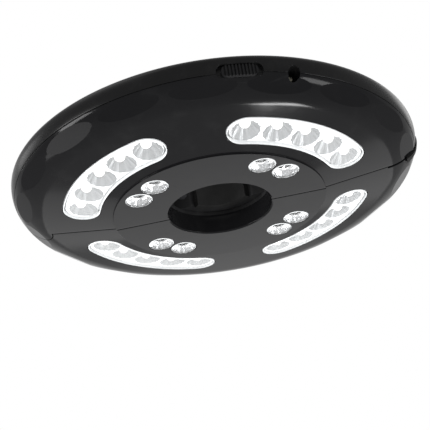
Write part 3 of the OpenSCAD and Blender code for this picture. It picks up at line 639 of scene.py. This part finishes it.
shell = {
    "facetCount": 18, "facetTurn": -84.5, "facetSlope": 33.4, "facetIn": 5.6, "facetH": 8.8,
    "facetTool": ((-6.2, -15, -7), (7.5, 15, 0)), "partingChamfer": 0.12, "holeRound": 0.6,
    "collarH": 10.2, "crownRound": 0.8, "crownBend": 0.23, "lowerEdge": 0.15, "upperEdge": 0.2,
    "screwSpots": (-30, -100, -150), "screwR": 87.0, "screwInner": (33, -7), "screwHeadR": 2.4,
    "screwFoot": 10, "doorHalfL": 28, "doorNear": 39.3, "doorFar": 71, "doorFoot": 22,
}
windows = {
    "mid": 67.6, "width": 17.8, "span": 51.6, "angle": 45.0, "cups": 5, "pitch": 12.9, "mouthGap": 0.6,
    "toolTop": 20,
}
spots = {"ring": 43.4, "spread": 9.2, "diameter": 12.9, "gap": 0.1, "toolTop": 6}
hinge = {"x": -94.0, "lobe": 8.5, "gap": 0.4, "knuckleTop": 18.4, "clear": 0.3, "hubWall": 2}
buffer = {
    "inner": 93.9, "depth": 4.4, "top": 21.7, "lowerCut": 30, "tongueStart": 84, "tongueEnd": 94,
    "tongueDepth": 1.5, "tongueTop": 20,
}
switch = {
    "turn": -75.0, "height": 12.95, "slotW": 5.9, "slotL": 20.0, "floor": 97.4, "blockR": 94.0,
    "blockW": 24.0,
}
jack = {"turn": -61.2, "height": 12.3, "diameter": 5.6, "start": 90, "blockR": 91.0, "blockW": 10}
cutter = {"beyond": 130, "rimEnd": 120, "below": -5, "formTop": 40, "above": 60}  # all past the disc


def windowAngles():
    return (-windows["angle"], windows["angle"] - 180)


def spotPlaces():
    for centre in windowAngles():
        for s in (-1, 1):
            a = radians(centre + s * spots["spread"])
            yield spots["ring"] * cos(a), spots["ring"] * sin(a)


def lowerBlank(name):
    cut = shell["partingChamfer"]
    outer = underLine(0, partingA(0) - cut / lamp["edgeRound"])
    edge = arcOf(edgeC, lamp["edgeRound"], 0, partingA(0), 1)[0]
    inner = underLine(lamp["wall"])
    hole = lamp["holeR"]
    outline = ([(hole + shell["holeRound"], 0), (lamp["ringR"], 0)] + outer[1:]
               + [(edge[0] - cut * 1.1, lamp["partingH"])] + list(reversed(inner))
               + [(hole + lamp["wall"], lamp["wall"]), (hole + lamp["wall"], shell["collarH"]),
                  (hole, shell["collarH"]), (hole, shell["holeRound"])])
    return ringSolid(name, outline)


def upperBlank(name):
    cut = shell["partingChamfer"]
    outer = upperLine(0, partingA(0) + cut / lamp["edgeRound"])
    edge = arcOf(edgeC, lamp["edgeRound"], 0, partingA(0), 1)[0]
    inner = upperLine(lamp["wall"])
    hole, curve, bend = lamp["holeR"], shell["crownRound"], shell["crownBend"]
    outline = ([(edge[0] - cut * 1.1, lamp["partingH"])] + outer
               + [(hole + curve, crownH), (hole + bend, crownH - bend), (hole, crownH - curve)]
               + [(hole, crownH - lamp["wall"])] + list(reversed(inner)))
    return ringSolid(name, outline)


def seamRegion(name, rear, radius, keepRound, low, high):
    # one side of the seam, with the round place at the hinge added to it or taken from it
    gap = lamp["seamGap"] / 2
    side = 1 if rear else -1
    far = cutter["beyond"]
    angles = roundAngles(radius, gap, side, keepRound)
    bend = [(hinge["x"] + radius * cos(a), radius * sin(a)) for a in angles]
    corners = [(-far, side * gap), (-far, side * far), (far, side * far)]
    return prism(name, [(far, side * gap)] + bend + corners, low, high)


def roundAngles(radius, gap, side, bulge, count=40):
    # angles round the hinge from its +X side to its -X side, through the far side of the seam when
    # the half bulges over it and through its own side when it gives way
    lean = atan(gap / sqrt(radius ** 2 - gap ** 2))
    if bulge:
        span = [-lean + (pi + 2 * lean) * i / count for i in range(count + 1)]
        return [-side * a for a in span]
    span = [lean + (pi - 2 * lean) * i / count for i in range(count + 1)]
    return [side * a for a in span]


def facetTools():
    tools = []
    tilt = Matrix.Rotation(radians(-shell["facetSlope"]), 4, "Y")
    place = Matrix.Translation((lamp["discR"] - shell["facetIn"], 0, shell["facetH"])) @ tilt
    for i in range(shell["facetCount"]):
        facet = block("facet", *shell["facetTool"])
        facet.data.transform(place)
        tools.append(turn(facet, shell["facetTurn"] + i * 360 / shell["facetCount"]))
    return tools


def openingTools(rear):
    tools = []
    mouth = bandPoints(windows["mid"], windows["width"] + windows["mouthGap"], windows["span"])
    for angle in windowAngles():
        tools.append(turn(prism("window", mouth, cutter["below"], windows["toolTop"]), angle))
    for x, y in spotPlaces():
        hole = circlePoints(spots["diameter"] / 2 + spots["gap"], 64, x, y)
        tools.append(prism("spot", hole, cutter["below"], spots["toolTop"]))
    return [mirrorSeam(t) for t in tools] if rear else tools


def rimTools():
    slot = stadiumPoints(switch["slotW"], switch["slotL"])
    recess = prism("recess", slot, switch["floor"], cutter["rimEnd"])
    bore = prism("bore", circlePoints(jack["diameter"] / 2), jack["start"], cutter["rimEnd"])
    return [outward(recess, switch["turn"], switch["height"]), outward(bore, jack["turn"], jack["height"])]


def seamWall(rear, low, high):
    # plate one wall thick; cut out of the outer form, it closes a half along the seam
    gap, far = lamp["seamGap"] / 2, cutter["beyond"]
    plate = block("plate", (-far, -gap - lamp["wall"], low), (far, -gap, high))
    return mirrorSeam(plate) if rear else plate


def filledForm(name, line):
    # the outer form without its hollow, for the walls and blocks that stand in it
    base = line(0)
    outline = [(lamp["holeR"], base[0][1])] + base + [(lamp["holeR"], base[-1][1])]
    return ringSolid(name, outline)


def rimBlocks(line):
    # thick places behind the switch recess and the inlet
    blocks = []
    for piece in (switch, jack):
        low = (piece["blockR"], -piece["blockW"] / 2, cutter["below"])
        high = (cutter["beyond"], piece["blockW"] / 2, cutter["formTop"])
        form = filledForm("rimBlock", line)
        blocks.append(carve(form, [turn(block("cut", low, high), piece["turn"])], "INTERSECT"))
    return blocks


def hingeHub(line, low):
    # solid round place at the hinge, cut out of the outer form
    core = circlePoints(hinge["lobe"] + hinge["hubWall"], 64, hinge["x"], 0)
    return carve(filledForm("hingeHub", line), [prism("hub", core, low, cutter["formTop"])], "INTERSECT")


def closingWall(line, rear, low):
    return carve(filledForm("seamWall", line), [seamWall(rear, low, cutter["formTop"])], "INTERSECT")


def bufferSeat(top):
    return block("bufferSeat", (buffer["inner"], -1, -1), (cutter["rimEnd"], buffer["depth"], top))


def polishAndShadeFacets(obj):
    # the cut flats are polished, the moulded skin round them is satin; the flats also get a darker colour
    # than the skin, which is painted shade
    obj.data.materials.append(finishes["facet"])
    slope = radians(shell["facetSlope"])
    mid = Vector((lamp["discR"] - shell["facetIn"], 0, shell["facetH"]))
    for i in range(shell["facetCount"]):
        spin = Matrix.Rotation(radians(shell["facetTurn"] + i * 360 / shell["facetCount"]), 3, "Z")
        normal = spin @ Vector((sin(slope), 0, -cos(slope)))
        level = normal.dot(spin @ mid)
        for face in obj.data.polygons:
            # faces that look the same way and lie within 0.05 mm of the flat
            if face.normal.dot(normal) > 0.9995 and abs(normal.dot(face.center) - level) < 0.05:
                face.material_index = 1


def makeLower(rear):
    side = "rear" if rear else "front"
    body = lowerBlank(side + "LowerShell")
    low, high = cutter["below"], cutter["formTop"]
    blocks = [] if rear else rimBlocks(underLine)
    carve(body, [closingWall(underLine, rear, low), hingeHub(underLine, low)] + blocks, "UNION")
    reach = hinge["lobe"] + (hinge["gap"] if rear else 0)
    carve(body, [seamRegion("side", rear, reach, not rear, low, high)], "INTERSECT")
    tools = facetTools() + openingTools(rear)
    if rear:
        tongue = (buffer["tongueEnd"], buffer["tongueDepth"], buffer["tongueTop"])
        tools.append(block("tongueSeat", (buffer["tongueStart"], -1, -1), tongue))
        tools.append(bufferSeat(buffer["lowerCut"]))
    else:
        tools += rimTools()
    return carve(body, tools)


def coverTools():
    # screw recesses and the opening of the cell door
    places = [(shell["screwR"] * cos(radians(a)), shell["screwR"] * sin(radians(a)))
              for a in shell["screwSpots"]]
    x, y = shell["screwInner"]
    tools = []
    for place in places + [(-x, y), (x, y)]:
        head = circlePoints(shell["screwHeadR"], 40, *place)
        tools.append(prism("screw", head, shell["screwFoot"], cutter["above"]))
    low = (-shell["doorHalfL"], -shell["doorFar"], shell["doorFoot"])
    high = (shell["doorHalfL"], -shell["doorNear"], cutter["above"])
    return tools + [block("door", low, high)]


def makeUpper(rear):
    side = "rear" if rear else "front"
    body = upperBlank(side + "TopCover")
    knuckle = hinge["knuckleTop"]
    blocks = [] if rear else rimBlocks(upperLine)
    carve(body, [closingWall(upperLine, rear, 0), hingeHub(upperLine, 0)] + blocks, "UNION")
    lobe = hinge["lobe"] - (hinge["gap"] if rear else 0)
    carve(body, [seamRegion("side", rear, lobe, True, 0, cutter["formTop"])], "INTERSECT")
    if rear:
        ring = circlePoints(hinge["lobe"] + hinge["gap"], 64, hinge["x"], 0)
        carve(body, [prism("overKnuckle", ring, knuckle, cutter["above"]),
                     prism("underKnuckle", ring, 0, lamp["partingH"] + hinge["clear"]),
                     bufferSeat(buffer["top"])])
    else:
        ring = circlePoints(hinge["lobe"], 64, hinge["x"], 0)
        carve(body, [prism("knuckle", ring, 0, knuckle + hinge["clear"])] + rimTools())
    tools = coverTools()
    return carve(body, [mirrorSeam(t) for t in tools] if rear else tools)


for rear in (False, True):
    side = "rear" if rear else "front"
    lower = trim(soften(makeLower(rear), shell["lowerEdge"]), 0, lamp["partingH"])
    polishAndShadeFacets(paint(lower, "lowerShell"))
    settle(lower, side + "_half", side + "_bottom_shell")
    upper = trim(soften(makeUpper(rear), shell["upperEdge"]), lamp["partingH"], crownH)
    settle(paint(upper, "upperShell"), side + "_half", side + "_top_cover")
    print(side, "shells", len(lower.data.polygons), len(upper.data.polygons))

# windows, cups and round lenses

pane = {
    "proud": 0.4, "skin": 1.0, "fit": 0.15, "flange": 1.6, "flangeGap": 0.4, "hollowH": 7.5, "levelFrom": 7,
    "edge": 0.3, "litBand": 0.28, "litDepth": 1.2,
}
slack = {"seat": 0.02, "cut": 0.01}


def layerH(r, depth):
    # a small depth counts from the cone's skin; from levelFrom on it is a level height
    return coneH(r) + depth if depth < pane["levelFrom"] else depth


def bandLayer(name, low, high, width):
    # slice of the cone between two depths, cut to the window's bent stadium
    inner, outer = lamp["ringR"] + 1, coneR - 1
    corners = ((inner, low), (outer, low), (outer, high), (inner, high))
    layer = ringSolid(name, [(r, layerH(r, depth)) for r, depth in corners], 100, 100, -50)
    outline = bandPoints(windows["mid"], width, windows["span"])
    return carve(layer, [prism("band", outline, cutter["below"], windows["toolTop"])], "INTERSECT")


def seatWidth():
    return windows["width"] + 2 * pane["flange"] - pane["flangeGap"]


cupForm = {
    "boardH": 8.0, "tipR": 2.6, "flutes": 14, "spotFlutes": 16, "fluteDepth": 0.24, "mouthDepth": 0.03,
    "mouthCut": 2, "seatDepth": 1, "edge": 0.12, "spotEdge": 0.1, "spotWall": 0.1, "spotMouthCut": 0.8,
}


def flutedCone(name, lowR, highR, low, high, flutes):
    # ridges and hollows take turns round the cone and get shallower towards its mouth
    count = 2 * flutes
    verts = []
    for r, h, depth in ((lowR, low, cupForm["mouthDepth"]), (highR, high, cupForm["fluteDepth"])):
        for i in range(count):
            a, reach = 2 * pi * i / count, r * (1 - depth * (i % 2))
            verts.append((reach * cos(a), reach * sin(a), h))
    faces = [tuple(reversed(range(count))), tuple(range(count, 2 * count))]
    faces += [(i, (i + 1) % count, count + (i + 1) % count, count + i) for i in range(count)]
    return newObject(name, verts, faces)


def cupTurns():
    middle = (windows["cups"] - 1) / 2
    return [(i - middle) * windows["pitch"] for i in range(windows["cups"])]


def fromMiddle(x, y):
    # distance from the window's bent middle line
    a, half = atan(y / x), radians(windows["span"] / 2)
    if abs(a) <= half:
        return abs(sqrt(x * x + y * y) - windows["mid"])
    return sqrt((x - windows["mid"] * cos(half)) ** 2 + (abs(y) - windows["mid"] * sin(half)) ** 2)


def makeWindow():
    width = windows["width"] - 2 * pane["fit"]
    deep = lamp["wall"] + pane["skin"]
    lens = bandLayer("window", -pane["proud"], deep, width)
    carve(lens, [bandLayer("flange", lamp["wall"] + slack["seat"], deep, seatWidth())], "UNION")
    hollow = bandLayer("hollow", pane["skin"] - pane["proud"], pane["hollowH"], width - 2 * pane["skin"])
    paint(soften(carve(lens, [hollow]), pane["edge"], 40), "window")
    lens.data.materials.append(finishes["windowEdge"])
    # a thin band along the window's edge, where it meets the cone's skin, takes the glowing edge finish:
    # painted light
    for face in lens.data.polygons:
        x, y, h = face.center
        shown = h < coneH(sqrt(x * x + y * y)) + pane["litDepth"]
        face.material_index = 1 if shown and fromMiddle(x, y) > width / 2 - pane["litBand"] else 0
    return lens


def makeTray():
    # plate with fluted cups whose walls widen at one slope from the tip to past the mouth
    width = windows["width"] - 2 * pane["skin"] - 4 * pane["fit"]
    top, tip, past = cupForm["boardH"], cupForm["tipR"], cupForm["mouthCut"]
    tray = bandLayer("tray", pane["skin"] - pane["proud"] + pane["fit"], top, width)
    floorH = lamp["wall"] + pane["skin"]
    seat = bandLayer("seat", floorH + slack["cut"], floorH + cupForm["seatDepth"], seatWidth())
    carve(tray, [seat], "UNION")
    cupH = coneH(windows["mid"])
    mouth = width / 2 + past * (width / 2 - tip) / (top - cupH)
    cups = []
    for a in cupTurns():
        cup = flutedCone("cup", mouth, tip, cupH - past, top + slack["cut"], cupForm["flutes"])
        cups.append(turn(move(cup, windows["mid"], 0, 0), a))
    paint(soften(carve(tray, cups), cupForm["edge"], 40, 3, 1), "reflector")
    tray.data.materials.append(finishes["trayFace"])
    # faces looking down near the cup mouths take the glowing tray finish, a painted glow
    for face in tray.data.polygons:
        face.material_index = 1 if face.normal.z < -0.98 and face.center.z < cupH + 2 else 0
    return tray


gemForm = {
    "sides": 8, "proud": 0.8, "tableR": 2.9, "starR": 4.6, "starShare": 0.72, "girdleIn": 0.25,
    "girdleLow": -0.12, "girdleHigh": 0.1, "seatR": 6.85, "seatDepth": 1.0,
}


def makeGem():
    # brilliant cut: table, star facets and a lower girdle on the front, a flat seat behind
    edge, seat, wall, proud = spots["diameter"] / 2, gemForm["seatR"], lamp["wall"], gemForm["proud"]
    few = gemForm["sides"]
    many = 2 * few
    # radius, height, corners and share of a step by which the ring is turned
    rings = [(gemForm["tableR"], -proud, few, 0.0),
             (gemForm["starR"], -proud * gemForm["starShare"], few, 0.5),
             (edge - gemForm["girdleIn"], gemForm["girdleLow"], many, 0.0),
             (edge, gemForm["girdleHigh"], many, 0.0), (edge, wall, many, 0.0),
             (seat, wall + slack["seat"], many, 0.0), (seat, wall + gemForm["seatDepth"], many, 0.0)]
    verts, starts = [], []
    for r, h, count, shift in rings:
        starts.append(len(verts))
        angles = [2 * pi * (i + shift) / count for i in range(count)]
        verts += [(r * cos(a), r * sin(a), h) for a in angles]
    table, star, girdle = starts[0], starts[1], starts[2]
    faces = [tuple(reversed(range(table, table + few)))]
    for i in range(few):
        n = (i + 1) % few
        faces.append((table + i, table + n, star + i))
        faces.append((table + n, star + n, girdle + 2 * n, star + i))
        faces.append((star + i, girdle + 2 * n, girdle + 2 * i + 1))
        faces.append((star + i, girdle + 2 * i + 1, girdle + 2 * i))
    for a, b in zip(starts[2:], starts[3:]):
        faces += [(a + i, a + (i + 1) % many, b + (i + 1) % many, b + i) for i in range(many)]
    faces.append(tuple(range(starts[-1], starts[-1] + many)))
    gem = paint(newObject("roundLens", verts, faces), "gem")
    gem.data.materials.append(finishes["gemEdge"])
    # the side faces below the wall take the glowing edge finish, a painted glow
    for face in gem.data.polygons:
        face.material_index = 1 if abs(face.normal.z) < 0.75 and face.center.z < wall else 0
    return gem


def makeSpotCup():
    seat, top = gemForm["seatR"], cupForm["boardH"]
    floorH = lamp["wall"] + gemForm["seatDepth"] + slack["seat"]
    cup = drum("spotCup", [(seat, floorH), (seat, top)])
    cone = flutedCone("cone", seat - cupForm["spotWall"], cupForm["tipR"],
                      floorH - cupForm["spotMouthCut"], top + slack["cut"], cupForm["spotFlutes"])
    return paint(soften(carve(cup, [cone]), cupForm["spotEdge"], 40, 3, 1), "spotCup")


domeForm = {"r": 2.5, "foot": 4.6, "tipR": 0.02, "steps": 8, "sides": 32}


def makeDome(x, y):
    # round light source that hangs from the board into its cup
    r, foot, steps = domeForm["r"], domeForm["foot"], domeForm["steps"]
    angles = [pi / 2 * i / steps for i in range(1, steps + 1)]
    curve = [(r * sin(a), foot + r * (1 - cos(a))) for a in angles]
    profile = [(domeForm["tipR"], foot)] + curve + [(r, cupForm["boardH"])]
    return move(drum("dome", profile, domeForm["sides"]), x, y, 0)


def makeDomes(rear):
    places = list(spotPlaces())
    for centre in windowAngles():
        for a in cupTurns():
            spot = radians(centre + a)
            places.append((windows["mid"] * cos(spot), windows["mid"] * sin(spot)))
    domes = [paint(makeDome(x, y), "emitter") for x, y in places]
    domes = joined("domes", [mirrorSeam(d) for d in domes] if rear else domes)
    for face in domes.data.polygons:
        face.use_smooth = True
    return domes


def placed(name, master, rear, atWindows):
    # copies of a master piece at the two windows, or at the four round lenses, of one half
    if atWindows:
        copies = [turn(copied(master), a) for a in windowAngles()]
    else:
        copies = [move(copied(master), x, y, 0) for x, y in spotPlaces()]
    return joined(name, [mirrorSeam(c) for c in copies] if rear else copies)


masters = {"Windows": makeWindow(), "Reflectors": makeTray(), "RoundLenses": makeGem(),
           "SpotCups": makeSpotCup()}
opticNodes = {"Windows": ("arc_lenses", "clear_plastic"), "Reflectors": ("reflectors", "bright_white"),
              "RoundLenses": ("spot_lenses", "clear_plastic"), "SpotCups": ("spot_cups", "bright_white")}
for rear in (False, True):
    side = "rear" if rear else "front"
    for label, master in masters.items():
        node, slot = opticNodes[label]
        piece = placed(side + label, master, rear, label in ("Windows", "Reflectors"))
        settle(piece, side + "_half", side + "_" + node)
    settle(makeDomes(rear), side + "_half", side + "_leds")
for master in masters.values():
    bpy.data.objects.remove(master, do_unlink=True)
print("windows, cups and round lenses made")

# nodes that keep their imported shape

nodeFinish = {
    "cell_door": "upperShell", "jaw": "innerPlastic", "jaw_pad": "rubber", "jaw_cradle": "innerPlastic",
    "jaw_rods": "rod", "cell_tray": "innerPlastic", "cells": "cell", "contacts": "contact",
    "screws": "steel", "wires": "wire", "led_board": "boardWhite",
}
singleFinish = {
    "hinge_pin": "steel", "hinge_spring": "spring", "closing_buffer": "rubber", "switch_knob": "knob",
    "slide_switch": "can", "dc_jack": "innerPlastic", "dc_jack_pin": "contact",
    "driver_board": "boardGreen", "driver_parts": "chip",
}
for name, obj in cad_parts.items():
    plain = name.replace("front_", "").replace("rear_", "")
    key = singleFinish.get(name) or nodeFinish.get(plain)
    if key:
        obj.data.materials.clear()
        obj.data.materials.append(finishes[key])
print("packed nodes painted")


def makeJawSprings(side):
    # the coils between the fixed cradle and the sliding jaw, copied from the packed node and painted as
    # spring wire
    node = side + "_jaw_springs"
    obj = bpy.data.objects.new(side + "JawCoils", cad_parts[node].data.copy())
    bpy.context.collection.objects.link(obj)
    paint(obj, "spring")
    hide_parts(node)
    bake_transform(obj)


for side in ("front", "rear"):
    makeJawSprings(side)

# floor, light

studio = {"floorDrop": 0.9, "floorSize": 8.0, "floorColour": (0.93, 0.93, 0.93), "worldFill": 0.75}
lights = {
    # direction from the lamp in degrees, distance, width and height in metres, power in watts
    "keyAbove": {"turn": -140, "rise": 50, "away": 1.4, "size": (0.9, 0.9), "power": 6.0},
    "leftStrip": {"turn": -153, "rise": -18, "away": 0.8, "size": (0.26, 0.2), "power": 4.6},
    "rightStrip": {"turn": -14, "rise": -37, "away": 0.8, "size": (0.4, 0.2), "power": 4.6},
    "leftLow": {"turn": 168, "rise": -46, "away": 0.8, "size": (0.24, 0.24), "power": 0.8},
    "farBelow": {"turn": 95, "rise": -27, "away": 1.3, "size": (1.1, 0.35), "power": 1.6},
    "streak": {"turn": 75.5, "rise": -53, "away": 0.77, "size": (0.12, 0.06), "power": 1.3},
    "backRight": {"turn": 42, "rise": 28, "away": 1.2, "size": (0.5, 0.5), "power": 1.5},
    "backLeft": {"turn": 169, "rise": 13, "away": 1.2, "size": (0.4, 0.4), "power": 2.0},
}


def shownWhite(tree, dim, bright):
    # full brightness for what the camera sees directly, by gloss or through clear pieces
    path = tree["nodes"].new("ShaderNodeLightPath")
    seen = calc(tree, "MAXIMUM", path.outputs["Is Camera Ray"], path.outputs["Is Glossy Ray"])
    seen = calc(tree, "MAXIMUM", seen, path.outputs["Is Transmission Ray"])
    node = tree["nodes"].new("ShaderNodeMix")
    node.data_type = "FLOAT"
    node.inputs[2].default_value, node.inputs[3].default_value = dim, bright
    tree["link"](seen, node.inputs["Factor"])
    return node.outputs[0]


def makeStudio():
    half = studio["floorSize"] / 2
    corners = [(-half, -half, 0), (half, -half, 0), (half, half, 0), (-half, half, 0)]
    floor = newObject("studioFloor", corners, [(0, 1, 2, 3)])
    floor.location.z = -studio["floorDrop"]
    floor.data.materials.append(startMaterial("floorPale", studio["floorColour"], 0.9, 0.0, 0.1)[0])
    world = bpy.data.worlds.new("studioWorld")
    world.use_nodes = True
    bpy.context.scene.world = world
    tree = {"nodes": world.node_tree.nodes, "link": world.node_tree.links.new}
    back = tree["nodes"]["Background"]
    back.inputs["Color"].default_value = (1, 1, 1, 1)
    tree["link"](shownWhite(tree, studio["worldFill"], 1.0), back.inputs["Strength"])


def areaLight(name, turn, rise, away, size, power):
    data = bpy.data.lights.new(name, "AREA")
    data.energy = power
    data.shape = "RECTANGLE"
    data.size, data.size_y = size
    obj = bpy.data.objects.new(name, data)
    a, e = radians(turn), radians(rise)
    obj.location = away * Vector((cos(a) * cos(e), sin(a) * cos(e), sin(e)))
    obj.rotation_euler = (-obj.location).to_track_quat("-Z", "Y").to_euler()
    obj.visible_camera = False
    bpy.context.collection.objects.link(obj)


makeStudio()
for name, values in lights.items():
    areaLight(name, **values)
bpy.context.scene.view_settings.view_transform = "Standard"
print("studio ready")
